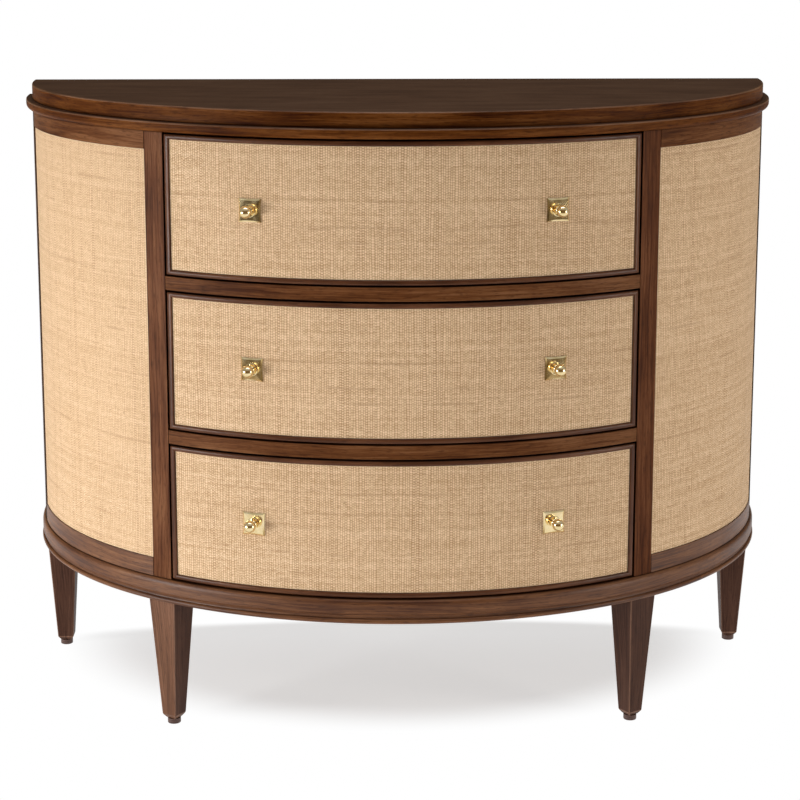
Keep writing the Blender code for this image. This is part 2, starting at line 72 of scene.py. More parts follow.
SIDE_BOTTOM_RAIL_HEIGHT = 0.0285
SIDE_RAIL_THICKNESS = 0.022
SIDE_PANEL_RECESS = 0.0015
SIDE_PANEL_THICKNESS = 0.009
DIVIDER_DEPTH = 0.045
FRONT_SIDE_GAP = 0.0024
CORE_RECESS = 0.0040
CORE_THICKNESS = 0.020
RAFFIA_THICKNESS = 0.0010
BEAD_WIDTH = 0.0072
BEAD_SHOULDER_HEIGHT = 0.0018
DRAWER_SIDE_LIFT = 0.012
DRAWER_BOTTOM_LIFT = 0.009
DRAWER_BOTTOM_THICKNESS = 0.006
BOTTOM_GROOVE_DEPTH = 0.005
KNOB_END_DISTANCE = 0.1225
PLATE_HALF_SIDE = 0.017
PLATE_THICKNESS = 0.0026
KNOB_FOOT_RADIUS = 0.0094
KNOB_FOOT_HEIGHT = 0.0013
KNOB_STEP_HEIGHT = 0.0010
KNOB_CONE_RADIUS = 0.0058
KNOB_CONE_HEIGHT = 0.0036
KNOB_NECK_RADIUS = 0.0034
KNOB_RING_HEIGHT = 0.0014
KNOB_BALL_RADIUS = 0.0080
LEG_TOP_WIDTH = 0.0475
LEG_FOOT_WIDTH = 0.0252
LEG_FOOT_CHAMFER = 0.0045
LEG_FOOT_CHAMFER_HEIGHT = 0.006
FRONT_LEG_OUTWARD = 0.0030
FRONT_LEG_INSET = 0.0258
REAR_LEG_INSET = 0.0263
REAR_LEG_BACK_GAP = 0.001
GLIDE_RADIUS = 0.0098
GLIDE_HEIGHT = 0.008
GLIDE_ROUND = 0.0012

# Finer details that only show here
EASED_EDGE = 0.0008
THIN_EASED_EDGE = 0.0004
LEG_EASED_EDGE = 0.0014
TOP_LOWER_ROUND = TOP_BOARD_ROUND / 6
TOP_UNDERSIDE_INSET = 0.004
TOP_FIELD_INSET = 0.006
RIM_WIDTH = 0.0016
MITRE_GAP = 0.00012
PLATE_BEVEL_WIDTH = 0.0022
PLATE_BEVEL_HEIGHT = 0.0019
PLATE_CROWN = 0.0002
PLATE_CENTER_SHARE = 0.02
PLATE_SIDE_HOLLOW = 0.0009
FOOT_INNER_SHARE = 0.4
FOOT_CHAMFER_WIDTH = 0.0008
FOOT_CHAMFER_HEIGHT = 0.0006
COLLAR_RADIUS = 0.0052
BALL_FULL_RADIUS = 0.0087

# Fineness of the meshes
CURVE_SEGMENTS = 288
BEAD_BAR_STEPS = 12
PLATE_SIDE_STEPS = 12
PLATE_CROWN_STEPS = 8
NECK_STEPS = 10
KNOB_SIDES = 56
GLIDE_SIDES = 48
WELD_DISTANCE = 0.00001
FLAT_ANGLE = radians(0.2)

# Shares of an edge's rounding, from above, that count as level and as worn edge lightened as a painted
# highlight
LEVEL_SHARE = 0.1
TOP_WEAR_AND_HIGHLIGHT_SHARE = 0.9

# Grain: its layer in the meshes, how little it runs on in end grain, and where it starts in the bead's bars
GRAIN = "grain"
RIM = "rim"
SWEPT_END_RUN = 0.15
BOARD_END_RUN = 0.1
UPPER_BAR_START = 0.7
RIGHT_BAR_START = 0.9
UPRIGHT_BAR_SHIFT = 0.2
LEG_FACE_SHIFT = 0.011
PLAIN_GRAIN_STEP = 0.01

# Heights and sizes that follow
BODY_HALF_WIDTH = HALF_WIDTH - MOULDING_OVERHANG
BODY_DEPTH = DEPTH - MOULDING_OVERHANG
BACK_Y = DEPTH / 2
STILE_OUTER_X = OPENING_HALF_WIDTH + FRONT_STILE_WIDTH
BASE_TOP = BASE_UNDERSIDE_HEIGHT + BASE_HEIGHT
BAY_PITCH = GAP_BELOW_FRONT + FRONT_HEIGHT + GAP_ABOVE_FRONT + DIVIDER_HEIGHT
DRAWER_NAMES = ("lower", "middle", "upper")
SIDES = ((-1, "left"), (1, "right"))
BODY_TOP = BASE_TOP + len(DRAWER_NAMES) * BAY_PITCH - DIVIDER_HEIGHT
BODY_LOW = BASE_TOP + JOINT_GAP
BODY_HIGH = BODY_TOP - JOINT_GAP
FRONT_HALF_WIDTH = OPENING_HALF_WIDTH - FRONT_SIDE_GAP
CORE_OUTER = -CORE_RECESS
CORE_INNER = CORE_OUTER - CORE_THICKNESS
FACE_SEAT = CORE_OUTER + JOINT_GAP
RAFFIA_FACE = FACE_SEAT + RAFFIA_THICKNESS
BOTTOM_LOW = DRAWER_SIDE_LIFT + DRAWER_BOTTOM_LIFT
BOTTOM_HIGH = BOTTOM_LOW + DRAWER_BOTTOM_THICKNESS
ALONG_X, ALONG_Y, ALONG_Z = range(3)


# Plan curve and arc lengths
def plan_point(offset, angle):
    """Point of the plan curve at a distance outside the case face; the angle starts at the right back."""
    x = (BODY_HALF_WIDTH + offset) * cos(angle)
    depth = (BODY_DEPTH + offset) * sin(angle)
    return x, BACK_Y - depth


def angle_at_x(offset, x):
    return acos(x / (BODY_HALF_WIDTH + offset))


def angle_at_depth(offset, depth):
    return asin(depth / (BODY_DEPTH + offset))


def at_x(x):
    """Upright plane at a distance from the middle: the plan angle there for each offset."""
    return lambda offset: angle_at_x(offset, x)


def at_depth(depth):
    """The same for a distance from the back."""
    return lambda offset: angle_at_depth(offset, depth)


def across(x):
    """Both end planes of a piece centred on the front."""
    return at_x(x), lambda offset: pi - angle_at_x(offset, x)


def facing_turn(offset, angle):
    """Turn that makes a piece face straight out from the plan curve."""
    return atan2(cos(angle) / (BODY_HALF_WIDTH + offset), sin(angle) / (BODY_DEPTH + offset))


def curve_lengths():
    """Length of the case face up to each step of the plan angle."""
    lengths = [0.0]
    previous = Vector(plan_point(0, 0))
    for index in range(1, CURVE_SEGMENTS + 1):
        point = Vector(plan_point(0, pi * index / CURVE_SEGMENTS))
        lengths.append(lengths[-1] + (point - previous).length)
        previous = point
    return lengths


LENGTHS = curve_lengths()


def length_at(angle):
    place = min(max(angle / pi, 0), 1) * CURVE_SEGMENTS
    index = min(int(place), CURVE_SEGMENTS - 1)
    return LENGTHS[index] + (LENGTHS[index + 1] - LENGTHS[index]) * (place - index)


def steps_between(first, last):
    return max(4, ceil(abs(last - first) / pi * CURVE_SEGMENTS))


# Mesh building
def placed(name, data):
    """New object in the scene."""
    made = bpy.data.objects.new(name, data)
    bpy.context.scene.collection.objects.link(made)
    return made


def piece_from(shape, name, materials, smooth, eased=0.0, eased_angle=0, eased_steps=2, edge_slot=-1):
    """Object from a bmesh, smooth up to one angle in degrees and with eased edges from another."""
    mesh = bpy.data.meshes.new(name)
    shape.to_mesh(mesh)
    shape.free()
    mesh.shade_smooth()
    mesh.set_sharp_from_angle(angle=radians(smooth))
    for material in materials:
        mesh.materials.append(material)
    piece = placed(name, mesh)
    if eased:
        bevel = piece.modifiers.new("eased_edges", "BEVEL")
        bevel.width = eased
        bevel.segments = eased_steps
        bevel.limit_method = "ANGLE"
        bevel.angle_limit = radians(eased_angle)
        bevel.harden_normals = True
        bevel.material = edge_slot
    return piece


class Shell:
    """Mesh whose corners carry a place along and across the grain."""

    def __init__(self, name):
        self.name = name
        self.shape = bmesh.new()
        self.grain = self.shape.loops.layers.uv.new(GRAIN)
        self.rim = self.shape.verts.layers.float.new(RIM)

    def point(self, place, rim=0.0):
        vertex = self.shape.verts.new(place)
        vertex[self.rim] = rim
        return vertex

    def face(self, corners, places):
        made = self.shape.faces.new(corners)
        for loop, place in zip(made.loops, places):
            loop[self.grain].uv = place

    def skin(self, rows, grains, cap_grain, ring=False):
        """Skin closed loops of points; grains gives each row one more place than it has points."""
        count = len(rows[0])
        for number in range(len(rows) - (0 if ring else 1)):
            row, following = rows[number], rows[(number + 1) % len(rows)]
            near, far = grains[number], grains[number + 1]
            for index in range(count):
                after = (index + 1) % count
                self.face((row[index], row[after], following[after], following[index]),
                          (near[index], near[index + 1], far[index + 1], far[index]))
        if not ring:
            for row in (rows[0], rows[-1]):
                self.face(row, [cap_grain(vertex.co) for vertex in row])

    def color_upper_faces(self, high, rounding, level_slot, wear_and_highlight_slot, wear_and_highlight_share=1.0):
        """Give the level top and the upper edge, worn and lightened as a painted highlight, their own
        material slots.
        """
        for face in self.shape.faces:
            height = face.calc_center_median().z
            if height > high - rounding * LEVEL_SHARE:
                face.material_index = level_slot
            elif height > high - rounding * wear_and_highlight_share:
                face.material_index = wear_and_highlight_slot

    def finish(self, materials, angle=32, **easing):
        bmesh.ops.recalc_face_normals(self.shape, faces=self.shape.faces)
        return piece_from(self.shape, self.name, materials, angle, eased_angle=angle, **easing)


def arc(center_out, center_up, out, up, first, last, count):
    """Points of an elliptic arc in a profile, angles in degrees from the outward direction."""
    points = []
    for index in range(count + 1):
        turn = radians(first + (last - first) * index / count)
        points.append((center_out + out * cos(turn), center_up + up * sin(turn)))
    return points


def round_arc(center_out, center_up, radius, first, last, count):
    return arc(center_out, center_up, radius, radius, first, last, count)


def board(thickness, low, high):
    """Profile of a board that lies behind the case face."""
    return [(0, low), (0, high), (-thickness, high), (-thickness, low)]


def walk(profile):
    """Distance along a closed profile at each of its points, and back at the first."""
    places = [0.0]
    for index in range(len(profile)):
        first, second = profile[index], profile[(index + 1) % len(profile)]
        places.append(places[-1] + dist(first, second))
    return places


def turned_rows(shell, profile, count, forward=False):
    """Loops of points around an upright axis or one that points forward."""
    rows = []
    for radius, reach in profile:
        row = []
        for index in range(count):
            turn = 2 * pi * index / count
            first, second = radius * cos(turn), radius * sin(turn)
            row.append(shell.point((first, -reach, second) if forward else (first, second, reach)))
        rows.append(row)
    return rows


def plain_grains(rows):
    """Grain places of a piece whose finish doesn't follow the grain."""
    return [[(number * PLAIN_GRAIN_STEP, index * PLAIN_GRAIN_STEP) for index in range(len(rows[0]) + 1)]
            for number in range(len(rows))]


def sweep(name, profile, start, end, shift, side=1, upright=False):
    """Carry a profile of (offset, height) points along the plan between two upright planes."""
    shell = Shell(name)
    middle = sum(offset for offset, height in profile) / len(profile)
    steps = steps_between(start(middle), end(middle))
    around = walk(profile)
    closed = profile + profile[:1]
    rows, grains = [], []
    for index in range(steps + 1):
        share = index / steps
        row = []
        for offset, height in profile:
            x, y = plan_point(offset, start(offset) + (end(offset) - start(offset)) * share)
            row.append(shell.point((side * x, y, height)))
        run = length_at(start(middle) + (end(middle) - start(middle)) * share)
        if upright:
            grains.append([(shift[0] + height, shift[1] + run - offset) for offset, height in closed])
        else:
            grains.append([(shift[0] + run, shift[1] + place) for place in around])
        rows.append(row)

    def end_grain(place):
        if upright:
            return shift[0] + place.z, shift[1] + place.y
        return shift[0] + place.y * SWEPT_END_RUN, shift[1] + place.z

    shell.skin(rows, grains, end_grain)
    return shell


def demilune(name, profile, shift, ring=False):
    """Carry a profile around the whole plan, back edge included, from bottom to top."""
    shell = Shell(name)
    rows, grains = [], []
    around = walk(profile)
    for (offset, height), place in zip(profile, around):
        start = angle_at_depth(offset, max(-offset, 0))
        row, grain = [], []
        for index in range(CURVE_SEGMENTS + 1):
            angle = start + (pi - 2 * start) * index / CURVE_SEGMENTS
            row.append(shell.point((*plan_point(offset, angle), height)))
            grain.append((shift[0] + length_at(angle), shift[1] + place))
        grain.append((shift[0] + LENGTHS[-1] + 2 * BODY_HALF_WIDTH, shift[1] + place))
        rows.append(row)
        grains.append(grain)
    grains.append([(along, shift[1] + around[-1]) for along, place in grains[0]])
    shell.skin(rows, grains, lambda place: (shift[0] + place.x, shift[1] + place.y), ring)
    return shell


# Materials
WHITE = (1.0, 1.0, 1.0)


def tinted(color, share):
    return tuple(share * part for part in color)


class Nodes:
    """Adds nodes to one tree; a value is a number, a colour, a place or a node's output."""

    def __init__(self, tree):
        self.tree = tree

    def feed(self, target, value):
        """Link or set one input; a colour or place that lacks its last number gets a 1 there."""
        if isinstance(value, bpy.types.NodeSocket):
            self.tree.links.new(value, target)
        elif isinstance(value, tuple):
            target.default_value = (*value, 1.0)[:len(target.default_value)]
        else:
            target.default_value = value

    def feed_named(self, node, **values):
        """Feed inputs by their names, with underscores for spaces."""
        for name, value in values.items():
            self.feed(node.inputs[name.replace("_", " ")], value)

    def fill(self, node, *values):
        """Feed the first inputs and give back the first output."""
        for target, value in zip(node.inputs, values):
            self.feed(target, value)
        return node.outputs[0]

    def new(self, kind, **values):
        node = self.tree.nodes.new(f"ShaderNode{kind}")
        self.feed_named(node, **values)
        return node

    def stretch(self, place, factors):
        node = self.new("VectorMath")
        node.operation = "MULTIPLY"
        return self.fill(node, place, factors)

    def split(self, place):
        return list(self.new("SeparateXYZ", Vector=place).outputs)

    def join(self, x, y, z=0.0):
        return self.fill(self.new("CombineXYZ"), x, y, z)

    def math(self, operation, *values):
        node = self.new("Math")
        node.operation = operation
        return self.fill(node, *values)

    def add(self, total, *others):
        for value in others:
            total = self.math("ADD", total, value)
        return total

    def largest(self, winner, *others):
        for value in others:
            winner = self.math("MAXIMUM", winner, value)
        return winner

    def subtract(self, value, other):
        return self.math("SUBTRACT", value, other)

    def times(self, value, factor):
        return self.math("MULTIPLY", value, factor)

    def divide(self, value, divisor):
        return self.math("DIVIDE", value, divisor)

    def weighed(self, *parts):
        """Sum of values, each times its weight."""
        return self.add(*[self.times(value, weight) for value, weight in parts])

    def wave(self, turns):
        """Smooth wave between 0 and 1, one for each turn."""
        return self.between(self.math("SINE", self.times(turns, 2 * pi)), -1.0, 1.0)

    def noise(self, place, density=1.0, detail=2.0, roughness=0.5):
        """Noise of one density, or of one for each axis."""
        if isinstance(density, tuple):
            place, density = self.stretch(place, density), 1.0
        node = self.new("TexNoise", Vector=place, Scale=density, Detail=detail, Roughness=roughness)
        return node.outputs["Fac"]

    def random(self, number, seed=0.0):
        """Random value for a number; another seed gives other values."""
        node = self.new("TexWhiteNoise")
        node.noise_dimensions = "1D"
        self.feed(node.inputs["W"], self.add(number, seed) if seed else number)
        return node.outputs["Value"]

    def between(self, value, low, high, to_low=0.0, to_high=1.0):
        """Carry values from low to high to another range and hold them at its ends."""
        return self.new("MapRange", Value=value, From_Min=low, From_Max=high,
                        To_Min=to_low, To_Max=to_high).outputs[0]

    def spread(self, noise, low, high):
        """Carry the usual values of a noise to a range."""
        return self.between(noise, 0.3, 0.7, low, high)

    def ramp(self, value, *stops):
        """Colour between (place, colour) stops."""
        node = self.new("ValToRGB", Fac=value)
        elements = node.color_ramp.elements
        while len(elements) < len(stops):
            elements.new(0.5)
        for element, (place, color) in zip(elements, stops):
            element.position = place
            element.color = (*color, 1)
        return node.outputs[0]

    def mix(self, share, first, second, blend="MIX"):
        """Mix of two colours."""
        node = self.new("Mix")
        node.data_type = "RGBA"
        node.blend_type = blend
        for index, value in ((0, share), (6, first), (7, second)):
            self.feed(node.inputs[index], value)
        return node.outputs[2]

    def blend(self, share, first, second):
        """Mix of two shaders."""
        return self.fill(self.new("MixShader"), share, first, second)


class Look(Nodes):
    """Material around one Principled shader."""

    def __init__(self, name):
        self.material = bpy.data.materials.new(name)
        self.material.use_nodes = True
        super().__init__(self.material.node_tree)
        self.shader = self.tree.nodes["Principled BSDF"]

    def grain(self):
        node = self.new("UVMap")
        node.uv_map = GRAIN
        return node.outputs[0]

    def object_place(self):
        return self.new("TexCoord").outputs["Object"]

    def rim(self):
        node = self.new("Attribute")
        node.attribute_name = RIM
        return node.outputs["Fac"]

    def complete(self, color, roughness, height, strength, distance, **others):
        """Feed the shader; the height gives a bump of a strength and a distance in metres."""
        bump = self.new("Bump", Height=height, Strength=strength, Distance=distance)
        self.feed_named(self.shader, Base_Color=color, Roughness=roughness, Normal=bump.outputs[0], **others)
        return self.material


def wood(name, dark, middle, light, roughness=(0.42, 0.58), specular=0.22, ring=0.007, painted_recess_shade=0.75,
         figure=0.06):
    """Streaked wood with pores, growth lines (ring: distance, figure: darkness) and painted shade in the
    recesses.
    """
    look = Look(name)
    grain = look.grain()
    along, across_grain = look.split(grain)[:2]
    swayed = look.add(across_grain, look.spread(look.noise(grain, (2.4, 7.0)), -0.005, 0.005))
    line = look.join(along, swayed)
    bend = look.noise(grain, (3.4, 26.0), roughness=0.55)
    ring_wave = look.wave(look.add(look.divide(swayed, ring), look.times(bend, 5.0)))
    rings = look.math("POWER", ring_wave, 2.5)
    streaks = look.noise(line, (5.0, 150.0), detail=4.0, roughness=0.65)
    lines = look.noise(line, (16.0, 560.0), roughness=0.6)
    tone = look.noise(grain, (7.0, 24.0))
    pores = look.between(look.noise(line, (70.0, 1100.0), detail=1.0), 0.58, 0.68)
    flecks = look.between(look.noise(line, (52.0, 300.0)), 0.56, 0.70, 0.0, 0.5)
    shade = look.weighed((streaks, 0.36), (lines, 0.28), (tone, 0.36))
    shade = look.subtract(shade, look.times(rings, figure))
    color = look.ramp(shade, (0.37, dark), (0.48, middle), (0.60, light))
    color = look.mix(look.times(pores, 0.5), color, dark)
    color = look.mix(flecks, color, tinted(dark, 0.6))
    # Painted shade: colour goes towards a darker tone in recesses that ambient occlusion finds
    if painted_recess_shade:
        corner = look.new("AmbientOcclusion", Distance=0.0045)
        corner.samples = 8
        recess = look.between(corner.outputs["AO"], 0.35, 0.92, painted_recess_shade, 0.0)
        color = look.mix(recess, color, tinted(dark, 0.28))
    height = look.subtract(look.times(lines, 0.5), pores)
    return look.complete(color, look.spread(lines, *roughness), height, strength=0.25, distance=0.00025,
                         Specular_IOR_Level=specular)


STRAND_WIDTH = 0.0034
THREAD_HEIGHT = 0.0037
RAFFIA_TONES = ((0.0, (0.360, 0.212, 0.100)), (0.5, (0.590, 0.400, 0.236)), (1.0, (0.800, 0.582, 0.385)))
RAFFIA_SHADE = (0.30, 0.165, 0.075)
RAFFIA_SPECK = (0.24, 0.13, 0.060)
RAFFIA_FRAY = (0.66, 0.50, 0.32)


def raffia(name, darkest=0.76, lightest=2.50):
    """Weave of split palm fibre: upright strands nipped into small beads, uneven cross threads and specks.

    The sum of all tones is darkest where the fibre is darkest, and lightest where it is lightest.
    """
    look = Look(name)
    grain = look.grain()
    along, upward = look.split(grain)[:2]

    def thread_noise(place, density, number, step, detail=2.0, roughness=0.5):
        """Noise along a strand or thread, with another pattern for each number."""
        return look.noise(look.join(look.times(place, density), look.times(number, step)),
                          detail=detail, roughness=roughness)

    # Strands stand upright and drift to the sides, threads cross them and sag
    drift = look.spread(look.noise(grain, (90.0, 6.0), detail=1.0), -0.0012, 0.0012)
    wander = look.spread(look.noise(grain, (26.0, 16.0)), -0.0003, 0.0003)
    sag = look.spread(look.noise(grain, (5.0, 9.0), detail=1.0), -0.0012, 0.0012)
    strands = look.divide(look.add(along, drift), STRAND_WIDTH)
    threads = look.divide(look.add(upward, wander, sag), THREAD_HEIGHT)
    strand = look.math("FLOOR", strands)
    thread = look.math("FLOOR", threads)
    swell = look.math("SINE", look.times(look.math("FRACT", strands), pi))

    # Each strand starts its beads at another height, half a bead further for every second one
    slip = look.spread(thread_noise(upward, 36.0, strand, 7.7, detail=1.0), 0.0, 0.40)
    start = look.weighed((look.math("MODULO", strand, 2.0), 0.5), (look.random(strand, 0.37), 0.30))
    turn = look.add(threads, look.add(start, slip))
    nip = look.wave(turn)

    # Tones of beads, strands and threads; swell and nip also give a painted highlight on each bead's middle
    # and painted shade at its edges and nips
    bead_tone = look.random(look.weighed((strand, 3.1), (look.math("FLOOR", turn), 17.3)))
    strand_tone = look.random(strand)
    thread_tone = look.random(thread, 0.11)
    strand_run = thread_noise(upward, 8.0, strand, 5.3, roughness=0.6)
    thread_run = thread_noise(along, 11.0, thread, 3.7, roughness=0.6)
    bands = look.noise(grain, (60.0, 2.5), detail=3.0, roughness=0.7)
    patches = look.noise(grain, (8.0, 14.0), detail=3.0, roughness=0.6)
    tone = look.weighed(
        (swell, 1.02), (nip, 0.70), (bead_tone, 0.46), (strand_tone, 0.08), (thread_tone, 0.26),
        (look.between(strand_run, 0.28, 0.72), 0.06), (look.between(thread_run, 0.28, 0.72), 0.22),
        (look.spread(bands, 0.0, 1.0), 0.05), (look.spread(patches, 0.0, 1.0), 0.09))
    color = look.ramp(look.between(tone, darkest, lightest), *RAFFIA_TONES)

    # Strong threads, painted shade in the gaps beside strands, dark dashes in threads, specks and the frayed
    # rim
    strong = look.times(look.between(look.random(thread, 0.53), 0.88, 0.95),
                        look.between(thread_run, 0.45, 0.60))
    gap_shade = look.times(look.between(strand_tone, 0.86, 0.94), look.between(nip, 0.6, 0.2))
    dash = look.between(thread_run, 0.66, 0.76)
    speck = look.between(look.noise(grain, (330.0, 300.0), detail=1.0), 0.66, 0.76)
    for share, weight, shade in (
            (strong, 0.34, RAFFIA_SHADE), (gap_shade, 0.45, RAFFIA_SHADE), (dash, 0.40, RAFFIA_SHADE),
            (speck, 0.6, RAFFIA_SPECK), (look.rim(), 0.45, RAFFIA_FRAY)):
        color = look.mix(look.times(share, weight), color, shade)
    return look.complete(color, look.between(strand_tone, 0.0, 1.0, 0.65, 0.85), look.times(swell, nip),
                         strength=0.25, distance=0.0008, Specular_IOR_Level=0.1)


BRASS_TONES = ((0.30, (0.79, 0.62, 0.32)), (0.5, (0.86, 0.69, 0.39)), (0.70, (0.91, 0.76, 0.47)))


def brass(name):
    """Polished brass with a little tarnish, cloudy spots and fine rub marks."""
    look = Look(name)
    place = look.object_place()
    cloud = look.noise(place, 90.0)
    spots = look.between(look.noise(place, 700.0), 0.66, 0.74)
    rub = look.noise(place, (3500.0, 400.0, 500.0))
    color = look.ramp(cloud, *BRASS_TONES)
    color = look.mix(look.times(spots, 0.15), color, (0.45, 0.30, 0.12))
    return look.complete(color, look.spread(cloud, 0.10, 0.18), rub, strength=0.03, distance=0.00005,
                         Metallic=1.0)


def glide_plastic(name):
    """Dark plastic with a fine grit and scuffed bands."""
    look = Look(name)
    place = look.object_place()
    grit = look.noise(place, 900.0, detail=3.0)
    scuff = look.noise(place, (60.0, 60.0, 500.0))
    color = look.ramp(scuff, (0.35, (0.045, 0.017, 0.011)), (0.65, (0.100, 0.045, 0.030)))
    return look.complete(color, look.spread(grit, 0.42, 0.62), grit, strength=0.15, distance=0.0002)


TOP_WOOD = wood("walnut_top", (0.046, 0.020, 0.011), (0.072, 0.033, 0.018), (0.100, 0.052, 0.030),
                roughness=(0.45, 0.6), specular=0.06, ring=0.016, painted_recess_shade=0)
FASCIA_WOOD = wood("walnut_fascia", (0.031, 0.006, 0.0005), (0.090, 0.025, 0.003), (0.154, 0.053, 0.012),
                   specular=0.04, ring=0.010, painted_recess_shade=0.2, figure=0.030)
RAIL_WOOD = wood("walnut_rail", (0.048, 0.013, 0.003), (0.115, 0.039, 0.011), (0.185, 0.076, 0.029),
                 specular=0.06, ring=0.008, figure=0.035)
BASE_WOOD = wood("walnut_base", (0.046, 0.012, 0.003), (0.113, 0.039, 0.011), (0.192, 0.078, 0.028),
                 roughness=(0.36, 0.50), specular=0.30, ring=0.008, figure=0.040)
SHADED_WOOD = wood("walnut_shaded", (0.020, 0.008, 0.003), (0.040, 0.015, 0.006), (0.066, 0.027, 0.012),
                   specular=0.02, ring=0.010)
STILE_WOOD = wood("walnut_stile", (0.050, 0.014, 0.004), (0.110, 0.037, 0.013), (0.170, 0.068, 0.028),
                  specular=0.06)
# Painted shade: darker copy of the stile wood for the right stile, away from the main light
SHADED_STILE_WOOD = wood("walnut_stile_shaded", (0.044, 0.011, 0.002), (0.097, 0.029, 0.008),
                       (0.154, 0.055, 0.020), specular=0.06)
# Painted highlight: lighter walnut for the worn upper rounded edges of the top board and moulding
EDGE_HIGHLIGHT_WOOD = wood("walnut_edge_highlight", (0.060, 0.022, 0.008), (0.135, 0.056, 0.024), (0.205, 0.098, 0.050),
                 roughness=(0.28, 0.40), specular=0.25, painted_recess_shade=0, figure=0.02)
BEAD_WOOD = wood("walnut_bead", (0.040, 0.012, 0.004), (0.080, 0.026, 0.009), (0.130, 0.049, 0.020),
                 roughness=(0.26, 0.36), specular=0.20, painted_recess_shade=0.6, figure=0.02)
LEG_WOOD = wood("walnut_leg", (0.078, 0.032, 0.016), (0.134, 0.057, 0.028), (0.188, 0.088, 0.050),
                specular=0.15, ring=0.006, figure=0.07)
# Painted highlight: lighter walnut on the legs' worn eased edges
LEG_EDGE_HIGHLIGHT_WOOD = wood("walnut_leg_edge_highlight", (0.084, 0.036, 0.018), (0.146, 0.066, 0.035), (0.210, 0.104, 0.061),
                     specular=0.30, painted_recess_shade=0)
# Painted shade: darker copy of the leg wood for legs and faces away from the main light
SHADED_LEG_WOOD = wood("walnut_leg_shaded", (0.036, 0.013, 0.007), (0.062, 0.025, 0.014), (0.090, 0.040, 0.024),
                     specular=0.12, ring=0.006, figure=0.07)
CORE_WOOD = wood("walnut_core", (0.020, 0.008, 0.004), (0.042, 0.016, 0.007), (0.070, 0.030, 0.014))
BOARD_WOOD = wood("drawer_board", (0.34, 0.215, 0.110), (0.47, 0.325, 0.185), (0.57, 0.425, 0.265),
                  roughness=(0.5, 0.65), painted_recess_shade=0, ring=0.012)
BACK_WOOD = wood("back_board", (0.085, 0.042, 0.020), (0.140, 0.074, 0.038), (0.190, 0.110, 0.062),
                 roughness=(0.5, 0.65), painted_recess_shade=0, ring=0.014)
RAFFIA = raffia("raffia_weave")
# Painted light: the left panel's weave with calmer contrast, as the strong light from the left washes it out
LIT_SIDE_RAFFIA = raffia("raffia_weave_lit_side", darkest=0.33, lightest=2.93)
BRASS = brass("polished_brass")
GLIDE = glide_plastic("dark_glide")


def assign(piece, body, slot, *nodes):
    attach(piece, body)
    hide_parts(*nodes)


# Top board and moulded board under it
top_low = BODY_TOP + MOULDING_HEIGHT + JOINT_GAP
top_high = top_low + TOP_BOARD_HEIGHT
top_profile = [
    (-TOP_UNDERSIDE_INSET, top_low),
    *round_arc(-TOP_LOWER_ROUND, top_low + TOP_LOWER_ROUND, TOP_LOWER_ROUND, -90, 0, 4),
    *round_arc(-TOP_BOARD_ROUND, top_high - TOP_BOARD_ROUND, TOP_BOARD_ROUND, 0, 90, 8),
    (-TOP_FIELD_INSET, top_high)]
top = demilune("top_board_wood", top_profile, (0.35, 0.11))
top.color_upper_faces(top_high, TOP_BOARD_ROUND, level_slot=1, wear_and_highlight_slot=2, wear_and_highlight_share=TOP_WEAR_AND_HIGHLIGHT_SHARE)
assign(top.finish([FASCIA_WOOD, TOP_WOOD, EDGE_HIGHLIGHT_WOOD]), "case", "walnut", "top_board")

moulding_high = BODY_TOP + MOULDING_HEIGHT
moulding_profile = [
    (0, BODY_TOP),
    *round_arc(MOULDING_OVERHANG - MOULDING_LOWER_ROUND, BODY_TOP + MOULDING_LOWER_ROUND,
               MOULDING_LOWER_ROUND, -90, 0, 12),
    *round_arc(MOULDING_OVERHANG - MOULDING_UPPER_ROUND, moulding_high - MOULDING_UPPER_ROUND,
               MOULDING_UPPER_ROUND, 0, 90, 6),
    (0, moulding_high)]
moulding = demilune("top_moulding_wood", moulding_profile, (2.1, 0.4))
moulding.color_upper_faces(moulding_high, MOULDING_UPPER_ROUND, level_slot=2, wear_and_highlight_slot=1)
assign(moulding.finish([FASCIA_WOOD, EDGE_HIGHLIGHT_WOOD, TOP_WOOD]), "case", "walnut", "top_moulding")

# Base frame: rounded upper edge, plain face, cove, neck and bead
bead_radius = BASE_BEAD_HEIGHT / 2
cove_low = BASE_UNDERSIDE_HEIGHT + BASE_BEAD_HEIGHT + BASE_NECK_HEIGHT
ledge_height = BASE_TOP - CASE_BOTTOM_THICKNESS - JOINT_GAP
base_profile = [
    *round_arc(BASE_BEAD_OVERHANG - bead_radius, BASE_UNDERSIDE_HEIGHT + bead_radius,
               bead_radius, -90, 90, 14),
    *arc(BASE_FACE_OVERHANG, cove_low, BASE_COVE_DEPTH, BASE_COVE_HEIGHT, 180, 90, 8),
    *arc(0, BASE_TOP - BASE_TOP_ROUND_HEIGHT, BASE_FACE_OVERHANG, BASE_TOP_ROUND_HEIGHT, 0, 90, 10),
    (-BASE_LIP_WIDTH, BASE_TOP), (-BASE_LIP_WIDTH, ledge_height),
    (-BASE_FRAME_WIDTH, ledge_height), (-BASE_FRAME_WIDTH, BASE_UNDERSIDE_HEIGHT)]
base = demilune("base_moulding_wood", base_profile, (4.3, 0.9), ring=True)
assign(base.finish([BASE_WOOD]), "case", "walnut", "base_moulding")


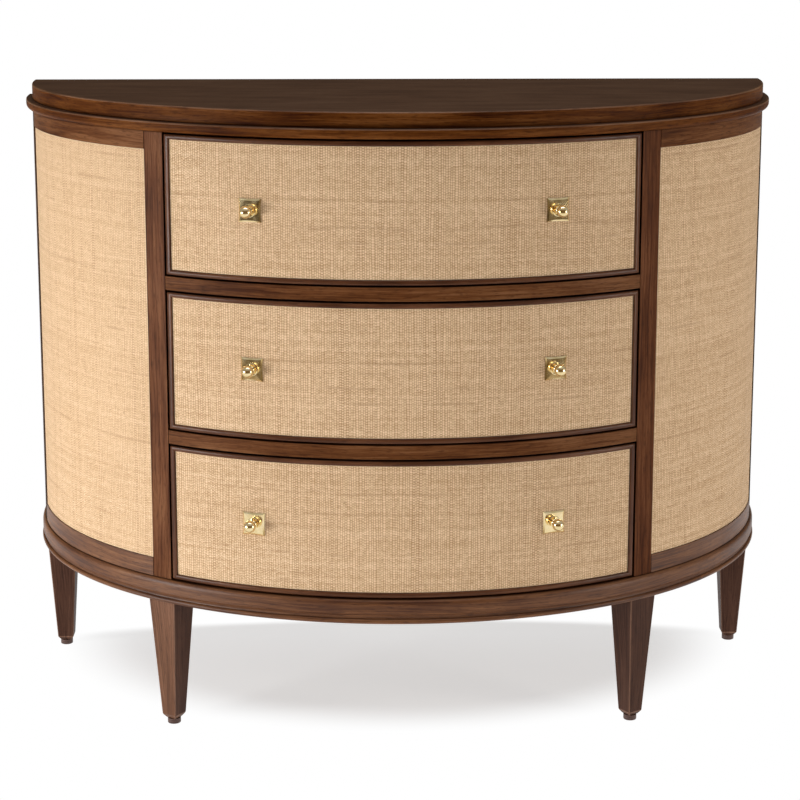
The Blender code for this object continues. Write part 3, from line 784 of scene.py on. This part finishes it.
def weave(name, face, back, low, high, start, end, shift, side=1):
    """Thin woven skin; a narrow rim along its edges is marked for the frayed ends."""
    shell = Shell(name)
    steps = steps_between(start(face), end(face))
    rim_share = RIM_WIDTH / abs(length_at(end(face)) - length_at(start(face)))
    shares = [0, rim_share] + [rim_share + (1 - 2 * rim_share) * index / steps for index in range(1, steps)]
    shares += [1 - rim_share, 1]
    columns = []
    for share in shares:
        column = []
        for offset, heights in ((face, (low, low + RIM_WIDTH, high - RIM_WIDTH, high)), (back, (high, low))):
            angle = start(offset) + (end(offset) - start(offset)) * share
            x, y = plan_point(offset, angle)
            for height in heights:
                at_rim = share in (0, 1) or height in (low, high)
                column.append((shell.point((side * x, y, height), 1.0 if at_rim else 0.0),
                               (shift[0] + length_at(angle), shift[1] + height)))
        columns.append(column)
    for near, far in zip(columns, columns[1:]):
        for index in range(len(near)):
            after = (index + 1) % len(near)
            shell.face(*zip(near[index], near[after], far[after], far[index]))
    for column in (columns[0], columns[-1]):
        shell.face(*zip(*column))
    return shell


def swept_piece(kind, label, profile, start, end, material, shift, side=1, upright=False):
    """Wooden case piece with eased edges."""
    shell = sweep(f"{kind}_wood_{label}", profile, start, end, shift, side, upright)
    assign(shell.finish([material], eased=EASED_EDGE), "case", "walnut", f"{kind}_{label}")


# Frames and panels at the two sides of the drawers
panel_low = BASE_TOP + SIDE_BOTTOM_RAIL_HEIGHT
panel_high = BODY_TOP - SIDE_TOP_RAIL_HEIGHT
panel_face = -SIDE_PANEL_RECESS
panel_rear = at_depth(REAR_STILE_WIDTH + JOINT_GAP)
panel_front = at_x(STILE_OUTER_X + JOINT_GAP)
for side, label in SIDES:
    seed = 0.0 if side < 0 else 3.7
    swept_piece("front_stile", label, board(FRONT_STILE_THICKNESS, BODY_LOW, BODY_HIGH),
                at_x(STILE_OUTER_X), at_x(OPENING_HALF_WIDTH), STILE_WOOD if side < 0 else SHADED_STILE_WOOD,
                (1.3 + seed, 0.55), side, upright=True)
    swept_piece("rear_stile", label, board(REAR_STILE_THICKNESS, BODY_LOW, BODY_HIGH),
                at_depth(0), at_depth(REAR_STILE_WIDTH), SHADED_WOOD, (2.9 + seed, 0.31), side, upright=True)
    swept_piece("side_top_rail", label, board(SIDE_RAIL_THICKNESS, panel_high, BODY_HIGH),
                panel_rear, panel_front, RAIL_WOOD, (3.1 + seed, 0.77), side)
    swept_piece("side_bottom_rail", label, board(SIDE_RAIL_THICKNESS, BODY_LOW, panel_low),
                panel_rear, panel_front, BASE_WOOD, (5.2 + seed, 1.23), side)
    panel = weave(f"side_panel_weave_{label}", panel_face, panel_face - SIDE_PANEL_THICKNESS,
                  panel_low + JOINT_GAP, panel_high - JOINT_GAP, panel_rear, panel_front,
                  (7.1 + seed, 0.2), side)
    assign(panel.finish([LIT_SIDE_RAFFIA if side < 0 else RAFFIA]), "case", "raffia", f"side_panel_{label}")

# Rails between the drawers
for number, label in ((1, "lower"), (2, "upper")):
    low = BASE_TOP + number * BAY_PITCH - DIVIDER_HEIGHT
    swept_piece("drawer_divider", label, board(DIVIDER_DEPTH, low, low + DIVIDER_HEIGHT),
                *across(OPENING_HALF_WIDTH - JOINT_GAP), RAIL_WOOD, (1.7 * number, 2.3 * number))

# Legs and glides
LEG_LOW = GLIDE_HEIGHT + JOINT_GAP
LEG_LENGTH = BASE_UNDERSIDE_HEIGHT - GLIDE_HEIGHT - 2 * JOINT_GAP
RIGHTWARD_NORMAL = 0.9


def leg_shell(name, shift):
    """Square tapered leg with a chamfer around its foot."""
    shell = Shell(name)
    rows, grains = [], []
    levels = ((LEG_FOOT_WIDTH - 2 * LEG_FOOT_CHAMFER, 0), (LEG_FOOT_WIDTH, LEG_FOOT_CHAMFER_HEIGHT),
              (LEG_TOP_WIDTH, LEG_LENGTH))
    for width, height in levels:
        half = width / 2
        corners = ((-half, -half), (half, -half), (half, half), (-half, half))
        rows.append([shell.point((x, y, height)) for x, y in corners])
        grains.append([(shift + height, 0.3 * shift + LEG_TOP_WIDTH * (index - 0.5) + index * LEG_FACE_SHIFT)
                       for index in range(len(corners) + 1)])
    shell.skin(rows, grains, lambda place: (shift + place.x * BOARD_END_RUN, place.y))
    return shell


def glide_shell(name):
    """Round glide with a rounded lower edge."""
    shell = Shell(name)
    profile = round_arc(GLIDE_RADIUS - GLIDE_ROUND, GLIDE_ROUND, GLIDE_ROUND, -90, 0, 5)
    profile += [(GLIDE_RADIUS, GLIDE_HEIGHT)]
    grains = [[(height, GLIDE_RADIUS * 2 * pi * index / GLIDE_SIDES) for index in range(GLIDE_SIDES + 1)]
              for radius, height in profile]
    shell.skin(turned_rows(shell, profile, GLIDE_SIDES), grains, lambda place: (place.x, place.y))
    return shell


front_leg_angle = angle_at_x(-FRONT_LEG_INSET, OPENING_HALF_WIDTH + FRONT_LEG_OUTWARD)
front_leg_place = plan_point(-FRONT_LEG_INSET, front_leg_angle)
front_leg_turn = facing_turn(-FRONT_LEG_INSET, front_leg_angle)
rear_leg_place = (BODY_HALF_WIDTH - REAR_LEG_INSET, BACK_Y - REAR_LEG_BACK_GAP - LEG_TOP_WIDTH / 2)
for side, label in SIDES:
    for row, place, turn in (("front", front_leg_place, front_leg_turn), ("rear", rear_leg_place, 0)):
        seed = 1.0 + side * 0.37 + (0.9 if row == "rear" else 0.0)
        # Only the front left leg is lit; the other legs get the darker copy as painted shade
        lit = row == "front" and side < 0
        leg = leg_shell(f"leg_wood_{row}_{label}", seed)
        leg = leg.finish([LEG_WOOD if lit else SHADED_LEG_WOOD, LEG_EDGE_HIGHLIGHT_WOOD, SHADED_LEG_WOOD], angle=20,
                         eased=LEG_EASED_EDGE, eased_steps=3, edge_slot=1)
        # Faces that look right get the darker copy as painted shade
        for face in leg.data.polygons:
            if face.normal.x > RIGHTWARD_NORMAL:
                face.material_index = 2
        leg.location = (side * place[0], place[1], LEG_LOW)
        leg.rotation_euler.z = side * turn
        assign(leg, "case", "walnut", f"leg_{row}_{label}")
        glide = glide_shell(f"glide_cap_{row}_{label}").finish([GLIDE])
        glide.location = (side * place[0], place[1], 0)
        assign(glide, "case", "glide_plastic", f"glide_{row}_{label}")


# Drawers
def bead_shell(name, low, shift):
    """Half round bead around a drawer front, four bars mitred at the corners."""
    shell = Shell(name)
    shoulder = FACE_SEAT + BEAD_SHOULDER_HEIGHT
    half = BEAD_WIDTH / 2
    crown = [(half - out, up) for out, up in arc(0, shoulder, half, -shoulder, 0, 180, 14)]
    profile = [(0, FACE_SEAT)] + crown + [(BEAD_WIDTH, FACE_SEAT)]
    around = walk(profile)
    steps = steps_between(*(edge(0) for edge in across(FRONT_HALF_WIDTH)))
    for upper in (False, True):
        rows, grains = [], []
        for index in range(steps + 1):
            row = []
            for inset, offset in profile:
                start = angle_at_x(offset, FRONT_HALF_WIDTH - inset - MITRE_GAP)
                angle = start + (pi - 2 * start) * index / steps
                height = FRONT_HEIGHT - inset if upper else inset
                row.append(shell.point((*plan_point(offset, angle), low + height)))
            rows.append(row)
            run = shift + length_at(angle) + upper * UPPER_BAR_START
            grains.append([(run, shift + place) for place in around])
        shell.skin(rows, grains, lambda place: (shift + place.z, place.y))
    for side in (-1, 1):
        rows, grains = [], []
        for index in range(BEAD_BAR_STEPS + 1):
            share = index / BEAD_BAR_STEPS
            row = []
            for inset, offset in profile:
                x, y = plan_point(offset, angle_at_x(offset, FRONT_HALF_WIDTH - inset))
                bottom, top = inset + MITRE_GAP, FRONT_HEIGHT - inset - MITRE_GAP
                row.append(shell.point((side * x, y, low + bottom + (top - bottom) * share)))
            rows.append(row)
            run = shift + (side > 0) * RIGHT_BAR_START + FRONT_HEIGHT * share
            grains.append([(run, shift + UPRIGHT_BAR_SHIFT + place) for place in around])
        shell.skin(rows, grains, lambda place: (shift + place.x, place.y))
    return shell


def plate_ring(shell, half, hollow, reach):
    """One square loop of the plate; hollow draws the middle of each side inwards."""
    ring = []
    for side in range(4):
        turn = side * pi / 2
        for index in range(PLATE_SIDE_STEPS):
            share = index / PLATE_SIDE_STEPS
            out = half - hollow * 4 * share * (1 - share)
            sideways = half * (1 - 2 * share)
            ring.append(shell.point((sideways * cos(turn) - out * sin(turn), -reach,
                                     sideways * sin(turn) + out * cos(turn))))
    return ring


def knob_shell(name):
    """Square plate with hollow sides and a bevel, a flat foot, a slim neck, a collar and the ball."""
    shell = Shell(name)
    plate_face = JOINT_GAP + PLATE_THICKNESS
    foot_top = plate_face + KNOB_FOOT_HEIGHT
    collar_low = foot_top + KNOB_STEP_HEIGHT + KNOB_CONE_HEIGHT
    collar_high = collar_low + KNOB_RING_HEIGHT
    ball_front = collar_high + sqrt(KNOB_BALL_RADIUS ** 2 - KNOB_NECK_RADIUS ** 2) + KNOB_BALL_RADIUS
    ball_center = ball_front - BALL_FULL_RADIUS
    rows = [plate_ring(shell, PLATE_HALF_SIDE, PLATE_SIDE_HOLLOW, reach)
            for reach in (JOINT_GAP, plate_face - PLATE_BEVEL_HEIGHT)]
    field = PLATE_HALF_SIDE - PLATE_BEVEL_WIDTH
    for index in range(PLATE_CROWN_STEPS + 1):
        share = index / PLATE_CROWN_STEPS
        rows.append(plate_ring(shell, field * max(1 - share, PLATE_CENTER_SHARE),
                               PLATE_SIDE_HOLLOW * (1 - share), plate_face - PLATE_CROWN * (1 - share) ** 2))
    shell.skin(rows, plain_grains(rows), lambda place: (place.x, place.z))

    foot_low = plate_face - PLATE_CROWN
    profile = [(KNOB_FOOT_RADIUS * FOOT_INNER_SHARE, foot_low), (KNOB_FOOT_RADIUS, foot_low),
               (KNOB_FOOT_RADIUS, foot_top - FOOT_CHAMFER_HEIGHT),
               (KNOB_FOOT_RADIUS - FOOT_CHAMFER_WIDTH, foot_top)]
    for index in range(NECK_STEPS + 1):
        turn = pi / 2 * index / NECK_STEPS
        profile.append((KNOB_NECK_RADIUS + (KNOB_CONE_RADIUS - KNOB_NECK_RADIUS) * (1 - sin(turn)),
                        collar_low - (collar_low - foot_top) * cos(turn)))
    profile += round_arc(COLLAR_RADIUS - KNOB_RING_HEIGHT / 2, (collar_low + collar_high) / 2,
                         KNOB_RING_HEIGHT / 2, -80, 80, 8)
    ball_start = degrees(acos((ball_center - collar_high) / BALL_FULL_RADIUS))
    profile += [(out, reach) for reach, out in
                arc(ball_center, 0, -BALL_FULL_RADIUS, BALL_FULL_RADIUS, ball_start, 178, 28)]
    rows = turned_rows(shell, profile, KNOB_SIDES, forward=True)
    shell.skin(rows, plain_grains(rows), lambda place: (place.x, place.z))
    return shell


def dressed_copy(node, name, body, along_axis, shift, eased=EASED_EDGE, slot="drawer_wood",
                 material=BOARD_WOOD):
    """Board with the node's own outline, eased edges and grain along one axis."""
    shape = bmesh.new()
    shape.from_mesh(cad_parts[node].data)
    for layer in list(shape.loops.layers.uv.values()):
        shape.loops.layers.uv.remove(layer)
    bmesh.ops.remove_doubles(shape, verts=shape.verts, dist=WELD_DISTANCE)
    bmesh.ops.dissolve_limit(shape, angle_limit=FLAT_ANGLE, verts=shape.verts, edges=shape.edges)
    grain = shape.loops.layers.uv.new(GRAIN)
    for face in shape.faces:
        normal_axis = max(range(3), key=lambda axis: abs(face.normal[axis]))
        others = [axis for axis in range(3) if axis not in (normal_axis, along_axis)]
        for loop in face.loops:
            place = loop.vert.co
            if normal_axis == along_axis:
                loop[grain].uv = (shift + place[others[0]] * BOARD_END_RUN, place[others[-1]])
            else:
                loop[grain].uv = (shift + place[along_axis], 0.5 * shift + place[others[0]])
    piece = piece_from(shape, name, [material], smooth=25, eased=eased, eased_angle=30)
    assign(piece, body, slot, node)


knob_angle = angle_at_x(RAFFIA_FACE, FRONT_HALF_WIDTH - KNOB_END_DISTANCE)
knob_x, knob_y = plan_point(RAFFIA_FACE, knob_angle)
knob_turn = facing_turn(RAFFIA_FACE, knob_angle)
groove_low = BOTTOM_LOW - JOINT_GAP
groove_high = BOTTOM_HIGH + JOINT_GAP
groove_end = CORE_INNER + BOTTOM_GROOVE_DEPTH
core_profile = [(CORE_OUTER, 0), (CORE_OUTER, FRONT_HEIGHT), (CORE_INNER, FRONT_HEIGHT),
                (CORE_INNER, groove_high), (groove_end, groove_high), (groove_end, groove_low),
                (CORE_INNER, groove_low), (CORE_INNER, 0)]
skin_margin = BEAD_WIDTH + JOINT_GAP
for number, level in enumerate(DRAWER_NAMES):
    body = f"drawer_{level}"
    low = BASE_TOP + GAP_BELOW_FRONT + number * BAY_PITCH
    seed = 1.9 * number
    core = sweep(f"{body}_front_wood", [(offset, low + height) for offset, height in core_profile],
                 *across(FRONT_HALF_WIDTH), (seed, 3.1 + seed))
    assign(core.finish([CORE_WOOD]), body, "walnut", f"{body}_front")
    skin = weave(f"{body}_weave", RAFFIA_FACE, FACE_SEAT, low + skin_margin, low + FRONT_HEIGHT - skin_margin,
                 *across(FRONT_HALF_WIDTH - skin_margin), (seed, seed))
    assign(skin.finish([RAFFIA]), body, "raffia", f"{body}_raffia")
    bead = bead_shell(f"{body}_bead_wood", low, seed + 0.8).finish([BEAD_WOOD], angle=50)
    assign(bead, body, "walnut", f"{body}_bead")
    for side, label in SIDES:
        knob = knob_shell(f"{body}_knob_brass_{label}").finish([BRASS], angle=24)
        knob.location = (side * knob_x, knob_y, low + FRONT_HEIGHT / 2)
        knob.rotation_euler.z = side * knob_turn
        assign(knob, body, "brass", f"{body}_knob_{label}")
        dressed_copy(f"{body}_side_{label}", f"{body}_side_board_{label}", body, ALONG_Y, seed + 0.4 * side)
    dressed_copy(f"{body}_back", f"{body}_back_board", body, ALONG_X, seed + 0.2)
    dressed_copy(f"{body}_bottom", f"{body}_bottom_board", body, ALONG_X, seed + 0.7, THIN_EASED_EDGE)
    for side, label in SIDES:
        dressed_copy(f"drawer_runner_{level}_{label}", f"runner_strip_{level}_{label}", "case",
                     ALONG_Y, seed + 1.1)

# Boards inside and behind the case
for side, label in SIDES:
    dressed_copy(f"inner_partition_{label}", f"partition_board_{label}", "case", ALONG_Z, 0.3)
dressed_copy("case_bottom", "case_bottom_board", "case", ALONG_X, 1.5, slot="walnut", material=BACK_WOOD)
dressed_copy("back_panel", "back_panel_board", "case", ALONG_Z, 2.5, material=BACK_WOOD)

# Floor: white to the camera and in mirrors, except for the real light and shadow close to the chest
FLOOR_HALF_SIDE = 40.0
FLOOR_STEPS = 8
SHADOW_HALF_WIDTH = 0.55
SHADOW_DEPTH = 0.41
SHADOW_BACK_REACH = 0.08
SHADOW_FADE = (0.74, 1.03)
FLOOR_COLOR = (0.80, 0.80, 0.80)
SEEN_FLOOR_COLOR = (0.78, 0.78, 0.78)
SEEN_FLOOR_LIFT = 0.48
FLOOR_BOUNCE = 0.58
MIRRORED_FLOOR_TINT = (1.20, 0.86, 0.45)


def pale_floor():
    look = Look("pale_floor")
    ray = look.new("LightPath").outputs
    mirrored = ray["Is Glossy Ray"]
    seen = look.largest(ray["Is Camera Ray"], mirrored, ray["Is Transmission Ray"])
    x, y = look.split(look.object_place())[:2]

    # How far a point is out of the chest's shadow, from 0 to 1
    plan_x = look.divide(x, SHADOW_HALF_WIDTH)
    forward = look.subtract(BACK_Y, y)
    plan_y = look.largest(look.divide(forward, SHADOW_DEPTH), look.divide(forward, -SHADOW_BACK_REACH))
    reach = look.math("SQRT", look.add(look.times(plan_x, plan_x), look.times(plan_y, plan_y)))
    away = look.between(reach, *SHADOW_FADE)
    away.node.interpolation_type = "SMOOTHSTEP"

    # In mirrors the floor is bright near the chest, then dim and warm, and paler far right in front
    toward_front = look.subtract(0.0, y)
    bright_ground = look.between(toward_front, 1.2, 1.8, 1.0, 0.13)
    far_ground = look.between(toward_front, 2.4, 3.4, 0.0, 0.04)
    pale_corner = look.times(look.between(x, 1.6, 2.6, 0.0, 0.22), look.between(toward_front, 2.4, 3.2))
    dim = look.add(bright_ground, far_ground, pale_corner)
    tint = look.mix(look.between(dim, 0.1, 1.0), MIRRORED_FLOOR_TINT, WHITE)
    beside = look.between(look.math("ABSOLUTE", x), 2.2, 2.8, 1.0, 0.35)
    mirror_dim = look.times(dim, beside)
    warm_dim = look.mix(1.0, look.join(mirror_dim, mirror_dim, mirror_dim), tint, "MULTIPLY")

    matte = look.new("BsdfDiffuse", Color=look.mix(seen, FLOOR_COLOR, SEEN_FLOOR_COLOR))
    unseen = look.subtract(FLOOR_BOUNCE, look.times(seen, FLOOR_BOUNCE))
    bounce = look.times(look.times(dim, away), unseen)
    lift = look.new("Emission", Strength=look.add(look.times(seen, SEEN_FLOOR_LIFT), bounce))
    near = look.fill(look.new("AddShader"), matte.outputs[0], lift.outputs[0])
    glow = look.new("Emission", Color=look.mix(mirrored, WHITE, warm_dim))
    surface = look.blend(look.times(away, seen), near, glow.outputs[0])
    look.feed(look.tree.nodes["Material Output"].inputs["Surface"], surface)
    return look.material


floor_shape = bmesh.new()
bmesh.ops.create_grid(floor_shape, x_segments=FLOOR_STEPS, y_segments=FLOOR_STEPS, size=FLOOR_HALF_SIDE)
floor_mesh = bpy.data.meshes.new("studio_floor")
floor_shape.to_mesh(floor_mesh)
floor_shape.free()
floor_mesh.materials.append(pale_floor())
floor = placed("studio_floor", floor_mesh)

# Camera at the photo's viewing angle
CAMERA_PLACE = (-0.0629, -3.1580, 1.2376)
CAMERA_PITCH = 11.17
CAMERA_TURN = -0.0194
camera_data = bpy.data.cameras.new("photo_camera")
camera_data.lens = 96.64
camera_data.sensor_width = 36
camera_data.shift_y = -0.12
camera = placed("photo_camera", camera_data)
camera.location = CAMERA_PLACE
camera.rotation_euler = (radians(90 - CAMERA_PITCH), 0, CAMERA_TURN)
bpy.context.scene.camera = camera


# Light
def softbox(name, place, aim, width, height, power, color=WHITE):
    light = bpy.data.lights.new(name, "AREA")
    light.shape = "RECTANGLE"
    light.size = width
    light.size_y = height
    light.energy = power
    light.color = color
    lamp = placed(name, light)
    lamp.location = place
    lamp.rotation_euler = (Vector(aim) - Vector(place)).to_track_quat("-Z", "Y").to_euler()


softbox("softbox_left", place=(-2.30, -1.15, 0.42), aim=(0, 0, -1.40), width=1.2, height=0.8, power=50)
softbox("softbox_right", place=(2.70, -1.50, 0.55), aim=(0, 0, -0.30), width=1.0, height=1.0, power=26,
        color=(1.0, 0.97, 0.92))
softbox("softbox_top", place=(0, -0.50, 2.60), aim=(0, 0, 0.60), width=1.6, height=0.5, power=12)

AMBIENT_STRENGTH = 0.26
DIMMEST_MIRRORED = 0.14
MIRRORED_ROOM_TINT = (1.25, 0.80, 0.38)


def studio_world():
    """White to the camera, even soft light for the pieces, and a dim, warm room in mirrors."""
    world = bpy.data.worlds.new("studio")
    world.use_nodes = True
    world.node_tree.nodes.clear()
    sky = Nodes(world.node_tree)
    ray = sky.new("LightPath").outputs
    rearward, upward = sky.split(sky.new("TexCoord").outputs["Generated"])[1:]
    above = sky.between(upward, 0.35, 0.75, DIMMEST_MIRRORED, 0.50)
    beside = sky.times(sky.between(rearward, -0.66, -0.50, 0.0, 0.40),
                       sky.between(rearward, 0.45, 0.80, 1.0, 0.0))
    brightness = sky.largest(above, beside)
    tint = sky.mix(sky.between(brightness, DIMMEST_MIRRORED, 0.40), MIRRORED_ROOM_TINT, WHITE)
    ambient = sky.new("Background", Color=WHITE, Strength=AMBIENT_STRENGTH)
    room = sky.new("Background", Color=tint, Strength=brightness)
    backdrop = sky.new("Background", Color=WHITE, Strength=1.0)
    lit = sky.blend(ray["Is Glossy Ray"], ambient.outputs[0], room.outputs[0])
    seen = sky.largest(ray["Is Camera Ray"], ray["Is Transmission Ray"])
    sky.new("OutputWorld", Surface=sky.blend(seen, lit, backdrop.outputs[0]))
    return world


bpy.context.scene.world = studio_world()
bpy.context.scene.view_settings.view_transform = "Standard"
